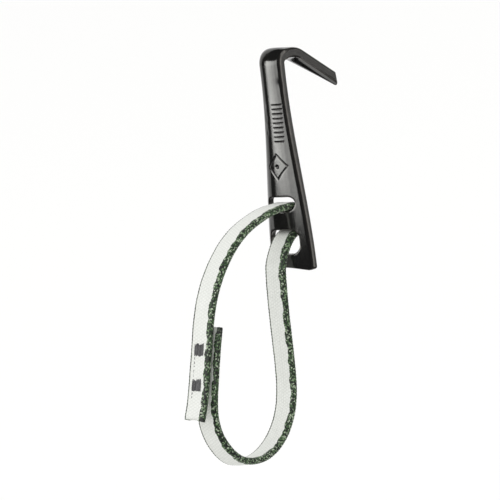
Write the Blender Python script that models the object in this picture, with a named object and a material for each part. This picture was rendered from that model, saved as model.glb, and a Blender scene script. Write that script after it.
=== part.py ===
"""Aid climbing hook on a short sewn webbing sling.

One forged steel hook: a channel-section shank with two slots, bent over into a pointed arm.
One length of flat webbing runs through both slots, round the bar between them, and its two ends
lie over each other and are held by two bar tacks.

Frame: metres, +Z up, +X the way the point reaches, Y across the width.
The origin is on the flat underside of the arm, just behind the point.
The outline is drawn on a datum whose zero is the back edge of the neck, in millimetres, and
world() moves it to the origin.
"""

import math

import bpy
import bmesh
from mathutils import Vector

MM = 0.001
GAP = 0.3

# Hook outline, side view (mm on the neck datum).
FOOT_Z = -77.1
BEND_START_Z = 2.2
BEND_RADIUS = 5.0
BEND_EXIT_DEG = 14.0
CREST_RADIUS = 18.5
ARM_SLOPE_DEG = -27.2
ARM_LENGTH = 24.8
TIP_SKEW = 2.8

# Hook widths, thicknesses and channel depths (mm).
NECK_HALF_WIDTH = 4.9
FOOT_HALF_WIDTH = 10.05
FLARE_TOP_Z = -3.0
TIP_HALF_WIDTH = 1.25
TAPER_START = 7.0
PLATE_THICKNESS = 3.8
ARM_THICKNESS = 4.0
FOOT_EDGE_THICKNESS = 2.7
NECK_EDGE_THICKNESS = 3.4
CROWN_FOOT = 5.0
CROWN_NECK = 2.3
CROWN_POWER = 2.6
FOOT_HOLLOW = 2.2
FOOT_HOLLOW_HEIGHT = 16.0

# Slots: centre height, height, half length across the width and corner radius (mm).
UPPER_SLOT = {"z": -50.6, "height": 5.2, "half_length": 6.1, "corner": 2.5}
LOWER_SLOT = {"z": -65.25, "height": 9.3, "half_length": 6.7, "corner": 3.4}

# Webbing (mm).
WEBBING_WIDTH = 8.5
WEBBING_THICKNESS = 2.5
WEBBING_EDGE_RADIUS = 0.9
WEBBING_STEP = 2.6
BIGHT_STEP = 1.3
FINE_STEP = 0.5
CURVE_STEPS = 12

# Routes of the webbing's middle line, (x, z) on the neck datum (mm).
ROUTE_BIGHT = [
    (-20.5, -53.5), (-14.4, -52.2), (-8.8, -51.65), (-4.4, -51.55), (-0.22, -51.6),
    (0.91, -52.07), (1.38, -53.2), (1.38, -55.0), (1.38, -56.9), (1.38, -58.8),
    (1.38, -60.6), (0.91, -61.73), (-0.22, -62.25), (-2.4, -63.2), (-4.8, -64.9),
    (-7.0, -67.2), (-8.9, -69.9), (-10.5, -73.2),
]
ROUTE_UPPER = [
    (-20.5, -53.5), (-26.5, -55.2), (-32.0, -57.5), (-37.5, -60.8), (-42.5, -64.9),
    (-46.7, -69.2), (-50.0, -73.5), (-52.7, -78.0), (-54.9, -82.9), (-56.7, -88.0),
    (-58.7, -95.0), (-60.4, -100.5), (-62.1, -106.0), (-63.8, -111.3), (-65.5, -115.6),
    (-67.1, -119.2),
]
ROUTE_LOWER = [
    (-10.5, -73.2), (-11.2, -78.5), (-11.6, -86.0), (-11.8, -94.0), (-11.8, -103.0),
    (-11.9, -111.5), (-12.5, -119.5), (-14.2, -126.3), (-16.8, -131.3), (-20.6, -135.7),
    (-25.4, -139.1), (-30.6, -141.2), (-36.0, -142.0), (-41.9, -141.4), (-47.6, -139.4),
    (-52.1, -136.0), (-55.8, -131.5), (-58.5, -126.6), (-60.0, -121.6), (-60.3, -116.8),
    (-59.7, -111.5), (-58.1, -104.8), (-56.6, -99.5), (-54.9, -94.0), (-52.8, -87.8),
]

# How the lower limb leaves its plane on the way to its end: a slight twist, then a sideways
# drift. Each runs between two fractions of the limb's length.
TWIST_DEG = 7.0
TWIST_SPAN = (0.44, 0.8)
DRIFT = -1.3
DRIFT_SPAN = (0.7, 0.88)

# Bar tacks: height of each middle, length along the webbing, width across it (mm).
TACK_HEIGHTS = {"bar_tack_upper": -95.1, "bar_tack_lower": -107.7}
TACK_LENGTH = 4.1
TACK_WIDTH = 3.7
TACK_PAD = 0.5
TACK_CORE_LENGTH = 2.0

SHANK_STATIONS = 18
BEND_STATIONS = 9
CREST_STATIONS = 8
ARM_STATIONS = 7
SECTION_STEPS = 16
MOUNT_SETBACK = 4.0
CUTTER_REACH = 3.0


def smooth(amount):
    """Ease from 0 to 1 as amount goes from 0 to 1."""
    t = min(max(amount, 0.0), 1.0)
    return t * t * (3.0 - 2.0 * t)


def lerp(a, b, t):
    return a + (b - a) * t


# ---------------------------------------------------------------- hook outline

SHANK_RUN = BEND_START_Z - FOOT_Z
BEND_RUN = BEND_RADIUS * math.radians(90.0 - BEND_EXIT_DEG)
CREST_RUN = CREST_RADIUS * math.radians(BEND_EXIT_DEG - ARM_SLOPE_DEG)
HOOK_RUN = SHANK_RUN + BEND_RUN + CREST_RUN + ARM_LENGTH


def walk_arc(start, heading, radius, run):
    """Follow an arc that turns clockwise and give the place and heading after run."""
    turned = heading - run / radius
    x = start[0] + radius * (math.sin(heading) - math.sin(turned))
    z = start[1] + radius * (math.cos(turned) - math.cos(heading))
    return (x, z), turned


def back_edge(run):
    """Place and heading of the hook's back edge line, run millimetres from the foot."""
    if run <= SHANK_RUN:
        return (0.0, FOOT_Z + run), math.pi / 2
    place, heading = walk_arc((0.0, BEND_START_Z), math.pi / 2, BEND_RADIUS,
                              min(run - SHANK_RUN, BEND_RUN))
    run -= SHANK_RUN + BEND_RUN
    if run <= 0.0:
        return place, heading
    place, heading = walk_arc(place, heading, CREST_RADIUS, min(run, CREST_RUN))
    run = max(run - CREST_RUN, 0.0)
    return (place[0] + run * math.cos(heading), place[1] + run * math.sin(heading)), heading


def section_sizes(run):
    """Half width, edge thickness, and how far the back and front crowns stand out."""
    if run <= SHANK_RUN:
        z = FOOT_Z + run
        flare = smooth((FLARE_TOP_Z - z) / (FLARE_TOP_Z - FOOT_Z))
        half = lerp(NECK_HALF_WIDTH, FOOT_HALF_WIDTH, flare)
        edge = lerp(NECK_EDGE_THICKNESS, FOOT_EDGE_THICKNESS, flare)
        crown = lerp(CROWN_NECK, CROWN_FOOT, flare)
        return half, edge, crown, crown + edge - PLATE_THICKNESS
    past = run - SHANK_RUN
    fade = smooth(past / (BEND_RUN + 0.5 * CREST_RUN))
    edge = lerp(NECK_EDGE_THICKNESS, ARM_THICKNESS, smooth(past / BEND_RUN))
    crown = lerp(CROWN_NECK, 0.0, fade)
    hollow = lerp(CROWN_NECK + NECK_EDGE_THICKNESS - PLATE_THICKNESS, 0.0, fade)
    taper = max(past - TAPER_START, 0.0) / (BEND_RUN + CREST_RUN + ARM_LENGTH - TAPER_START)
    return lerp(NECK_HALF_WIDTH, TIP_HALF_WIDTH, taper), edge, crown, hollow


def arm_underside(setback):
    """Middle of the arm's underside, setback millimetres behind the point's lower edge."""
    (x, z), heading = back_edge(HOOK_RUN)
    along = TIP_SKEW - setback
    return (x + ARM_THICKNESS * math.sin(heading) + along * math.cos(heading),
            z - ARM_THICKNESS * math.cos(heading) + along * math.sin(heading))


ORIGIN = arm_underside(MOUNT_SETBACK)


def world(x, y, z):
    """Move a point from the neck datum in millimetres to the part's frame in metres."""
    return Vector(((x - ORIGIN[0]) * MM, y * MM, (z - ORIGIN[1]) * MM))


# ---------------------------------------------------------------- shared builders

def make_material(name, colour, metallic, roughness):
    material = bpy.data.materials.new(name)
    material.use_nodes = True
    shader = material.node_tree.nodes["Principled BSDF"]
    shader.inputs["Base Color"].default_value = (*colour, 1.0)
    shader.inputs["Metallic"].default_value = metallic
    shader.inputs["Roughness"].default_value = roughness
    return material


def make_object(name, rings, material, parent, sharp_deg=40.0):
    """Skin a row of equal closed rings and cap both ends."""
    mesh = bpy.data.meshes.new(name)
    form = bmesh.new()
    rows = [[form.verts.new(point) for point in ring] for ring in rings]
    count = len(rings[0])
    for near, far in zip(rows, rows[1:]):
        for i in range(count):
            j = (i + 1) % count
            form.faces.new((near[i], near[j], far[j], far[i]))
    form.faces.new(list(reversed(rows[0])))
    form.faces.new(rows[-1])
    bmesh.ops.recalc_face_normals(form, faces=form.faces)
    form.to_mesh(mesh)
    form.free()
    mesh.shade_smooth()
    mesh.set_sharp_from_angle(angle=math.radians(sharp_deg))
    mesh.materials.append(material)
    piece = bpy.data.objects.new(name, mesh)
    bpy.context.collection.objects.link(piece)
    set_parent(piece, parent)
    return piece


def set_parent(piece, parent):
    piece.parent = parent
    piece.matrix_parent_inverse = parent.matrix_world.inverted()


def make_empty(name, place):
    empty = bpy.data.objects.new(name, None)
    empty.location = place
    bpy.context.collection.objects.link(empty)
    bpy.context.view_layer.update()
    return empty


def cut(piece, cutter):
    """Take the cutter out of the piece with a live Boolean."""
    modifier = piece.modifiers.new("cut " + cutter.name, "BOOLEAN")
    modifier.operation = "DIFFERENCE"
    modifier.solver = "EXACT"
    modifier.object = cutter
    cutter.hide_render = True
    cutter.display_type = "WIRE"


def prism(name, outline, low_x, high_x, parent):
    """A cutter along X from an outline of (y, z) points on the neck datum."""
    mesh = bpy.data.meshes.new(name)
    form = bmesh.new()
    bottom = form.faces.new([form.verts.new(world(low_x, y, z)) for y, z in outline])
    grown = bmesh.ops.extrude_face_region(form, geom=[bottom])
    moved = [item for item in grown["geom"] if isinstance(item, bmesh.types.BMVert)]
    bmesh.ops.translate(form, verts=moved, vec=((high_x - low_x) * MM, 0.0, 0.0))
    bmesh.ops.recalc_face_normals(form, faces=form.faces)
    form.to_mesh(mesh)
    form.free()
    piece = bpy.data.objects.new(name, mesh)
    bpy.context.collection.objects.link(piece)
    set_parent(piece, parent)
    return piece


def rounded_outline(half_y, half_z, radius, steps=6):
    """Corner-rounded rectangle round (0, 0), anticlockwise."""
    points = []
    for turn, (sign_y, sign_z) in enumerate(((1, 1), (-1, 1), (-1, -1), (1, -1))):
        centre = (sign_y * (half_y - radius), sign_z * (half_z - radius))
        for step in range(steps + 1):
            angle = math.pi / 2 * (turn + step / steps)
            points.append((centre[0] + radius * math.cos(angle),
                           centre[1] + radius * math.sin(angle)))
    return points


# ---------------------------------------------------------------- hook body

def hook_ring(run):
    """Closed section of the hook at run: the back curve, then the front curve."""
    (x, z), heading = back_edge(run)
    half, edge, crown, hollow = section_sizes(run)
    out_x, out_z = -math.sin(heading), math.cos(heading)
    skew = TIP_SKEW * max(run - (HOOK_RUN - ARM_LENGTH), 0.0) / ARM_LENGTH
    lift = max(0.0, 1.0 - (run / FOOT_HOLLOW_HEIGHT))

    def place(y, stand):
        along = skew * max(-stand, 0.0) / edge
        rise = FOOT_HOLLOW * lift * (1.0 - (y / half) ** 2)
        return world(x + out_x * stand + along * math.cos(heading), y,
                     z + out_z * stand + along * math.sin(heading) + rise)

    ring = []
    for step in range(SECTION_STEPS + 1):
        y = -half * math.cos(math.pi * step / SECTION_STEPS)
        bow = 1.0 - abs(y / half) ** CROWN_POWER
        ring.append(place(y, crown * bow))
    for step in range(SECTION_STEPS + 1):
        y = half * math.cos(math.pi * step / SECTION_STEPS)
        bow = 1.0 - abs(y / half) ** CROWN_POWER
        ring.append(place(y, hollow * bow - edge))
    return ring


def station_runs():
    """Where along the back edge the hook's sections stand."""
    runs = [SHANK_RUN * i / SHANK_STATIONS for i in range(SHANK_STATIONS)]
    runs += [SHANK_RUN + BEND_RUN * i / BEND_STATIONS for i in range(BEND_STATIONS)]
    start = SHANK_RUN + BEND_RUN
    runs += [start + CREST_RUN * i / CREST_STATIONS for i in range(CREST_STATIONS)]
    start += CREST_RUN
    runs += [start + ARM_LENGTH * i / ARM_STATIONS for i in range(ARM_STATIONS + 1)]
    return runs


def build_hook(material, parent):
    body = make_object("hook_body", [hook_ring(run) for run in station_runs()], material, parent)
    for name, slot in (("cutter_upper_slot", UPPER_SLOT), ("cutter_lower_slot", LOWER_SLOT)):
        outline = [(y, slot["z"] + z) for y, z in
                   rounded_outline(slot["half_length"], slot["height"] / 2, slot["corner"])]
        cut(body, prism(name, outline, -CROWN_FOOT - CUTTER_REACH, FOOT_EDGE_THICKNESS + CUTTER_REACH, parent))
    return body


# ---------------------------------------------------------------- webbing

def smooth_route(points, step, before=None, after=None):
    """Even points along a centripetal Catmull-Rom curve, shaped at its ends by its neighbours."""
    if before is None:
        before = tuple(2 * a - b for a, b in zip(points[0], points[1]))
    if after is None:
        after = tuple(2 * a - b for a, b in zip(points[-1], points[-2]))
    knots = [Vector((x, 0.0, z)) for x, z in [before, *points, after]]
    fine = []
    for p0, p1, p2, p3 in zip(knots, knots[1:], knots[2:], knots[3:]):
        t1 = (p1 - p0).length ** 0.5
        t2 = t1 + (p2 - p1).length ** 0.5
        t3 = t2 + (p3 - p2).length ** 0.5
        for i in range(CURVE_STEPS):
            t = lerp(t1, t2, i / CURVE_STEPS)
            a1 = p0.lerp(p1, t / t1)
            a2 = p1.lerp(p2, (t - t1) / (t2 - t1))
            a3 = p2.lerp(p3, (t - t2) / (t3 - t2))
            b1 = a1.lerp(a2, t / t2)
            b2 = a2.lerp(a3, (t - t1) / (t3 - t1))
            fine.append(b1.lerp(b2, (t - t1) / (t2 - t1)))
    fine.append(knots[-2])
    lengths = [0.0]
    for a, b in zip(fine, fine[1:]):
        lengths.append(lengths[-1] + (b - a).length)
    count = max(2, round(lengths[-1] / step))
    even = []
    at = 0
    for i in range(count + 1):
        goal = lengths[-1] * i / count
        while at < len(fine) - 2 and lengths[at + 1] < goal:
            at += 1
        span = lengths[at + 1] - lengths[at]
        even.append(fine[at].lerp(fine[at + 1], min((goal - lengths[at]) / span, 1.0)))
    return even


def sway(fraction):
    """Twist in radians and sideways drift of the lower limb at a fraction of its length."""
    twist = (fraction - TWIST_SPAN[0]) / (TWIST_SPAN[1] - TWIST_SPAN[0])
    drift = (fraction - DRIFT_SPAN[0]) / (DRIFT_SPAN[1] - DRIFT_SPAN[0])
    return math.radians(TWIST_DEG) * smooth(1.0 - abs(2.0 * twist - 1.0)), DRIFT * smooth(drift)


def webbing(name, route, before, after, step, material, parent, swaying=False):
    """Flat webbing along a route, drawn back by half a gap where more webbing follows."""
    line = smooth_route(route, step, before, after)
    if before is not None:
        line[0] = line[0] + (line[1] - line[0]).normalized() * GAP / 2
    if after is not None:
        line[-1] = line[-1] + (line[-2] - line[-1]).normalized() * GAP / 2
    outline = rounded_outline(WEBBING_WIDTH / 2, WEBBING_THICKNESS / 2, WEBBING_EDGE_RADIUS, 2)
    last = len(line) - 1
    rings = []
    for i, middle in enumerate(line):
        ahead = line[min(i + 1, last)] - line[max(i - 1, 0)]
        normal = Vector((-ahead.z, 0.0, ahead.x)).normalized()
        twist, drift = sway(i / last) if swaying else (0.0, 0.0)
        ring = []
        for y, n in outline:
            out = n * math.cos(twist) + y * math.sin(twist)
            side = y * math.cos(twist) - n * math.sin(twist) + drift
            ring.append(world(middle.x + normal.x * out, side, middle.z + normal.z * out))
        rings.append(ring)
    return make_object(name, rings, material, parent)


def line_at_height(route, z):
    """Middle and direction of a route where it passes a height on its way."""
    line = smooth_route(route, FINE_STEP)
    best = min(range(1, len(line) - 1), key=lambda i: abs(line[i].z - z))
    return line[best], (line[best + 1] - line[best - 1]).normalized()


# ---------------------------------------------------------------- bar tacks

def tack_profile(middle_out, middle_in, along):
    """I-shaped side profile: a pad on each face and a core through both layers."""
    across = (middle_out - middle_in).normalized()
    outer = (middle_out - middle_in).length + WEBBING_THICKNESS / 2 + GAP
    inner = -WEBBING_THICKNESS / 2 - GAP
    half, core = TACK_LENGTH / 2, TACK_CORE_LENGTH / 2
    marks = [(-half, inner - TACK_PAD), (half, inner - TACK_PAD), (half, inner), (core, inner),
             (core, outer), (half, outer), (half, outer + TACK_PAD), (-half, outer + TACK_PAD),
             (-half, outer), (-core, outer), (-core, inner), (-half, inner)]
    return [middle_in + along * a + across * n for a, n in marks]


def bar_tack(name, z, material, parent):
    middle_out, direction = line_at_height(ROUTE_UPPER, z)
    line = smooth_route(ROUTE_LOWER, FINE_STEP)
    middle_in = min(line[len(line) // 2:], key=lambda p: abs((p - middle_out).dot(direction)))
    profile = tack_profile(middle_out, middle_in, direction)
    mesh = bpy.data.meshes.new(name)
    form = bmesh.new()
    half = TACK_WIDTH / 2
    face = form.faces.new([form.verts.new(world(p.x, -half, p.z)) for p in profile])
    grown = bmesh.ops.extrude_face_region(form, geom=[face])
    moved = [item for item in grown["geom"] if isinstance(item, bmesh.types.BMVert)]
    bmesh.ops.translate(form, verts=moved, vec=(0.0, TACK_WIDTH * MM, 0.0))
    bmesh.ops.recalc_face_normals(form, faces=form.faces)
    form.to_mesh(mesh)
    form.free()
    mesh.materials.append(material)
    tack = bpy.data.objects.new(name, mesh)
    bpy.context.collection.objects.link(tack)
    set_parent(tack, parent)
    return tack, middle_out, middle_in, direction


def tack_hole(name, middle_out, middle_in, direction, parent):
    """Clearance cutter for the threads, through both layers."""
    across = (middle_out - middle_in).normalized()
    half = TACK_CORE_LENGTH / 2 + GAP
    reach_in, reach_out = -CUTTER_REACH, (middle_out - middle_in).length + CUTTER_REACH
    marks = [(-half, reach_in), (half, reach_in), (half, reach_out), (-half, reach_out)]
    half_width = TACK_WIDTH / 2 + GAP
    rings = []
    for y in (-half_width, half_width):
        ring = []
        for a, n in marks:
            p = middle_in + direction * a + across * n
            ring.append(world(p.x, y, p.z))
        rings.append(ring)
    return make_object(name, rings, bpy.data.materials["bar tack thread"], parent)


# ---------------------------------------------------------------- assembly

def main():
    for item in list(bpy.data.objects):
        bpy.data.objects.remove(item)
    steel = make_material("blackened steel", (0.035, 0.035, 0.037), 1.0, 0.32)
    fabric = make_material("white webbing", (0.78, 0.79, 0.75), 0.0, 0.85)
    thread = make_material("bar tack thread", (0.06, 0.06, 0.065), 0.0, 0.7)

    hook = make_empty("hook_frame", (0.0, 0.0, 0.0))
    pivot_z = (UPPER_SLOT["z"] - UPPER_SLOT["height"] / 2
               + LOWER_SLOT["z"] + LOWER_SLOT["height"] / 2) / 2
    swing = make_empty("sling_swing_axis", world(-CROWN_FOOT + 0.5 * PLATE_THICKNESS, 0.0, pivot_z))
    set_parent(swing, hook)
    bpy.context.view_layer.update()

    build_hook(steel, hook)
    webbing("sling_bight", ROUTE_BIGHT, ROUTE_UPPER[1], ROUTE_LOWER[1], BIGHT_STEP, fabric, hook)
    upper = webbing("sling_upper_limb", ROUTE_UPPER, ROUTE_BIGHT[1], None, WEBBING_STEP,
                    fabric, swing)
    lower = webbing("sling_lower_limb", ROUTE_LOWER, ROUTE_BIGHT[-2], None, WEBBING_STEP,
                    fabric, swing, swaying=True)
    for name, z in TACK_HEIGHTS.items():
        tack, middle_out, middle_in, direction = bar_tack(name, z, thread, swing)
        hole = tack_hole("cutter_" + name, middle_out, middle_in, direction, swing)
        cut(upper, hole)
        cut(lower, hole)


main()
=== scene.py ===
"""A pointed climbing hook of blackened steel on a short sewn sling of flat webbing.

Each operator makes one piece, or a group of like pieces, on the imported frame. Lengths in the
outline tables are millimetres on the neck datum, whose zero is the back edge of the hook's neck;
world() moves them to the frame. Every piece ends at the origin with its place in its mesh.
"""

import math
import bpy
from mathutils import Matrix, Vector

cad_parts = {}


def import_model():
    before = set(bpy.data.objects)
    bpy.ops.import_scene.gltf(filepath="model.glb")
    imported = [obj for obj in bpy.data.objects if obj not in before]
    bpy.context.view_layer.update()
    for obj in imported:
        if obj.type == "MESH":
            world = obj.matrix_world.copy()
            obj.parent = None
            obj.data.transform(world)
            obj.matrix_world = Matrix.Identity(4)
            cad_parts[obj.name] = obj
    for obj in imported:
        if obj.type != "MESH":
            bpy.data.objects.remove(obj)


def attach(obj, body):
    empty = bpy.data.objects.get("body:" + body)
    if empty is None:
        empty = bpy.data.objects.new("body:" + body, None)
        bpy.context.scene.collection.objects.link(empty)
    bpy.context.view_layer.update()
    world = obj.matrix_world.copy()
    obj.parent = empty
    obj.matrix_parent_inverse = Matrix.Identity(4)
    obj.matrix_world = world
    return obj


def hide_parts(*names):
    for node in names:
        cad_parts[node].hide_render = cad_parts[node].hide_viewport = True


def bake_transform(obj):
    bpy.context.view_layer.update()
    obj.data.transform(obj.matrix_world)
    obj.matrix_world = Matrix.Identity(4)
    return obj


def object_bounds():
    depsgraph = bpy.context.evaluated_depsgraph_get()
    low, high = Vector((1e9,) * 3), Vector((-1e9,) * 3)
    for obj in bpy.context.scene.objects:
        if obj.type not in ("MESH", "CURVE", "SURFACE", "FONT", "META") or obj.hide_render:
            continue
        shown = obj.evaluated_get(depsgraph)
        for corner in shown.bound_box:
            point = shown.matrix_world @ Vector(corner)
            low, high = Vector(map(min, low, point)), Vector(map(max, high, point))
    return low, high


bl_info = {
    "name": "Climbing Hook and Sling",
    "version": (1, 0, 0),
    "blender": (4, 5, 0),
    "location": "View3D > Sidebar > Climbing Hook",
    "description": "Builds a slotted steel climbing hook, its webbing loop and its bar tacks",
    "category": "Add Mesh",
}

import bmesh
import bpy
import numpy as np
from bpy.props import FloatProperty, FloatVectorProperty, IntProperty, PointerProperty
from mathutils import Matrix, Vector

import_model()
CAD_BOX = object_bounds()

MM = 0.001

# ------------------------------------------------------------------ the part's own outlines

FOOT_Z = -77.1
BEND_START_Z = 2.2
BEND_RADIUS = 5.0
BEND_EXIT_DEG = 14.0
CREST_RADIUS = 18.5
ARM_SLOPE_DEG = -27.2
ARM_LENGTH = 24.8
TIP_SKEW = 2.8
NECK_HALF_WIDTH = 4.9
FOOT_HALF_WIDTH = 10.05
FLARE_TOP_Z = -3.0
TIP_HALF_WIDTH = 1.25
TAPER_START = 7.0
PLATE_THICKNESS = 3.8
ARM_THICKNESS = 4.0
FOOT_EDGE_THICKNESS = 2.7
NECK_EDGE_THICKNESS = 3.4
CROWN_FOOT = 5.0
CROWN_NECK = 2.3
CROWN_POWER = 2.6
FOOT_HOLLOW = 2.2
FOOT_HOLLOW_HEIGHT = 16.0
MOUNT_SETBACK = 4.0
SLOTS = (
    {"z": -50.6, "height": 5.2, "half_length": 6.1, "corner": 2.5},
    {"z": -65.25, "height": 9.3, "half_length": 6.7, "corner": 3.4},
)

ROUTE_BIGHT = [
    (-20.5, -53.5), (-14.4, -52.2), (-8.8, -51.65), (-4.4, -51.55), (-0.22, -51.6),
    (0.91, -52.07), (1.38, -53.2), (1.38, -55.0), (1.38, -56.9), (1.38, -58.8),
    (1.38, -60.6), (0.91, -61.73), (-0.22, -62.25), (-2.4, -63.2), (-4.8, -64.9),
    (-7.0, -67.2), (-8.9, -69.9), (-10.5, -73.2),
]
ROUTE_UPPER = [
    (-20.5, -53.5), (-26.5, -55.2), (-32.0, -57.5), (-37.5, -60.8), (-42.5, -64.9),
    (-46.7, -69.2), (-50.0, -73.5), (-52.7, -78.0), (-54.9, -82.9), (-56.7, -88.0),
    (-58.7, -95.0), (-60.4, -100.5), (-62.1, -106.0), (-63.8, -111.3), (-65.5, -115.6),
    (-67.1, -119.2),
]
ROUTE_LOWER = [
    (-10.5, -73.2), (-11.2, -78.5), (-11.6, -86.0), (-11.8, -94.0), (-11.8, -103.0),
    (-11.9, -111.5), (-12.5, -119.5), (-14.2, -126.3), (-16.8, -131.3), (-20.6, -135.7),
    (-25.4, -139.1), (-30.6, -141.2), (-36.0, -142.0), (-41.9, -141.4), (-47.6, -139.4),
    (-52.1, -136.0), (-55.8, -131.5), (-58.5, -126.6), (-60.0, -121.6), (-60.3, -116.8),
    (-59.7, -111.5), (-58.1, -104.8), (-56.6, -99.5), (-54.9, -94.0), (-52.8, -87.8),
]
BAR_MIDDLE = 8          # index in ROUTE_BIGHT of the middle of the bar's front
TWIST_DEG = 7.0
TWIST_SPAN = (0.44, 0.8)
DRIFT = -1.3
DRIFT_SPAN = (0.7, 0.88)
TACKS = {"bar_tack_upper": -95.1, "bar_tack_lower": -107.7}

# The view is from behind the hook and a little above, with the hook leaning in the frame.
AIM = (-33.0, 0.0, -66.0)
VIEW_AZIMUTH_DEG = 40.0
VIEW_ELEVATION_DEG = 8.5
VIEW_ROLL_DEG = 6.8
VIEW_DISTANCE = 1.0
VIEW_LENS = 193.7
VIEW_SHIFT = (0.0284, 0.0176)

# Upright cards round the hook that only its shine sees: name, first and last azimuth, lowest
# and highest elevation in degrees, and brightness. None stands for the softbox's low edge.
CARD_DISTANCE = 0.5
SOFTBOX_LOW_Z = -62.0
CARDS = (
    ("softbox_bright", -42.0, -20.0, None, 30.0, 8.0),
    ("softbox_middle", -20.0, 2.0, None, 30.0, 6.9),
    ("softbox_dim", 2.0, 28.0, None, 30.0, 5.2),
    ("softbox_tail", 28.0, 62.0, None, 30.0, 3.5),
    ("back_card", -175.0, -72.0, -24.0, 58.0, 1.0),
    ("side_card", 114.0, 150.0, -16.0, 40.0, 1.15),
    ("front_card", 172.0, 204.0, -20.0, 45.0, 1.3),
)
UNDER_CARD = {"azimuth": 168.0, "elevation": -62.0, "size": (0.5, 0.42), "glow": 1.3}


def smooth(t):
    """Ease from 0 to 1 as t goes from 0 to 1; numbers or arrays."""
    t = np.clip(t, 0.0, 1.0)
    return t * t * (3.0 - 2.0 * t)


def lerp(a, b, t):
    return a + (b - a) * t


def linear(code):
    """A colour's sRGB hex code as linear red, green, blue and full alpha."""
    parts = [int(code[i:i + 2], 16) / 255.0 for i in (1, 3, 5)]
    return tuple(c / 12.92 if c <= 0.04045 else ((c + 0.055) / 1.055) ** 2.4
                 for c in parts) + (1.0,)


# ------------------------------------------------------------------ the hook's form

SHANK_RUN = BEND_START_Z - FOOT_Z
BEND_RUN = BEND_RADIUS * math.radians(90.0 - BEND_EXIT_DEG)
CREST_RUN = CREST_RADIUS * math.radians(BEND_EXIT_DEG - ARM_SLOPE_DEG)
HOOK_RUN = SHANK_RUN + BEND_RUN + CREST_RUN + ARM_LENGTH


def walk_arc(start, heading, radius, run):
    """Follow an arc that turns clockwise and give the place and heading after run."""
    turned = heading - run / radius
    x = start[0] + radius * (math.sin(heading) - math.sin(turned))
    z = start[1] + radius * (math.cos(turned) - math.cos(heading))
    return (x, z), turned


def back_edge(run):
    """Place and heading of the hook's back edge line, run millimetres from the foot."""
    if run <= SHANK_RUN:
        return (0.0, FOOT_Z + run), math.pi / 2
    place, heading = walk_arc((0.0, BEND_START_Z), math.pi / 2, BEND_RADIUS,
                              min(run - SHANK_RUN, BEND_RUN))
    run -= SHANK_RUN + BEND_RUN
    if run <= 0.0:
        return place, heading
    place, heading = walk_arc(place, heading, CREST_RADIUS, min(run, CREST_RUN))
    run = max(run - CREST_RUN, 0.0)
    return (place[0] + run * math.cos(heading), place[1] + run * math.sin(heading)), heading


def section_sizes(run):
    """Half width, edge thickness, and how far the back and front crowns stand out."""
    if run <= SHANK_RUN:
        z = FOOT_Z + run
        flare = smooth((FLARE_TOP_Z - z) / (FLARE_TOP_Z - FOOT_Z))
        half = lerp(NECK_HALF_WIDTH, FOOT_HALF_WIDTH, flare)
        edge = lerp(NECK_EDGE_THICKNESS, FOOT_EDGE_THICKNESS, flare)
        crown = lerp(CROWN_NECK, CROWN_FOOT, flare)
        return half, edge, crown, crown + edge - PLATE_THICKNESS
    past = run - SHANK_RUN
    fade = smooth(past / (BEND_RUN + 0.5 * CREST_RUN))
    edge = lerp(NECK_EDGE_THICKNESS, ARM_THICKNESS, smooth(past / BEND_RUN))
    crown = lerp(CROWN_NECK, 0.0, fade)
    hollow = lerp(CROWN_NECK + NECK_EDGE_THICKNESS - PLATE_THICKNESS, 0.0, fade)
    taper = max(past - TAPER_START, 0.0) / (BEND_RUN + CREST_RUN + ARM_LENGTH - TAPER_START)
    return lerp(NECK_HALF_WIDTH, TIP_HALF_WIDTH, taper), edge, crown, hollow


def arm_underside(setback):
    """Middle of the arm's underside, setback millimetres behind the point's lower edge."""
    (x, z), heading = back_edge(HOOK_RUN)
    along = TIP_SKEW - setback
    return (x + ARM_THICKNESS * math.sin(heading) + along * math.cos(heading),
            z - ARM_THICKNESS * math.cos(heading) + along * math.sin(heading))


ORIGIN = arm_underside(MOUNT_SETBACK)


def world(x, y, z):
    """Move a point from the neck datum in millimetres to the frame in metres."""
    return Vector(((x - ORIGIN[0]) * MM, y * MM, (z - ORIGIN[1]) * MM))


def slot_distance(slot, y, z):
    """Signed distance from a slot's outline, negative inside it."""
    across = abs(y) - slot["half_length"] + slot["corner"]
    along = abs(z - slot["z"]) - slot["height"] / 2 + slot["corner"]
    outside = math.hypot(max(across, 0.0), max(along, 0.0))
    return outside + min(max(across, along), 0.0) - slot["corner"]


def round_over(distance, radius):
    """How deep a rounded edge lies below the face, at a distance in from the edge."""
    if distance >= radius:
        return 0.0
    reach = radius - max(distance, 0.0)
    return radius - math.sqrt(max(radius * radius - reach * reach, 0.0))


def segment_distance(y, z, a, b):
    """Distance of a point from the straight line between two marks."""
    dy, dz = b[0] - a[0], b[1] - a[1]
    t = min(max(((y - a[0]) * dy + (z - a[1]) * dz) / (dy * dy + dz * dz), 0.0), 1.0)
    return math.hypot(y - a[0] - t * dy, z - a[1] - t * dz)


LOZENGE_MIDDLE = (-0.8, -36.4)
LOZENGE_REACH = (4.1, 4.7)
TICK_MIDDLE_Y = -2.5
TICK_HALF = 1.7
TICK_TOP_Z = -13.0
TICK_PITCH = 1.75
TICK_COUNT = 9
DOT_RADIUS = 0.5
GROOVE_HALF_WIDTH = 0.34
# Forging dents: middle across and along the hook, reach across and along, and depth. Four run
# down the far side of the neck and one is on its near edge.
DENTS = (
    (3.2, -13.5, 1.0, 2.2, 0.16),
    (2.7, -17.6, 0.8, 1.7, 0.14),
    (3.4, -21.0, 1.1, 1.8, 0.15),
    (2.4, -23.4, 0.6, 1.3, 0.10),
    (-4.6, -5.5, 1.1, 2.0, 0.22),
)
BAR_LEAN = 0.42


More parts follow.
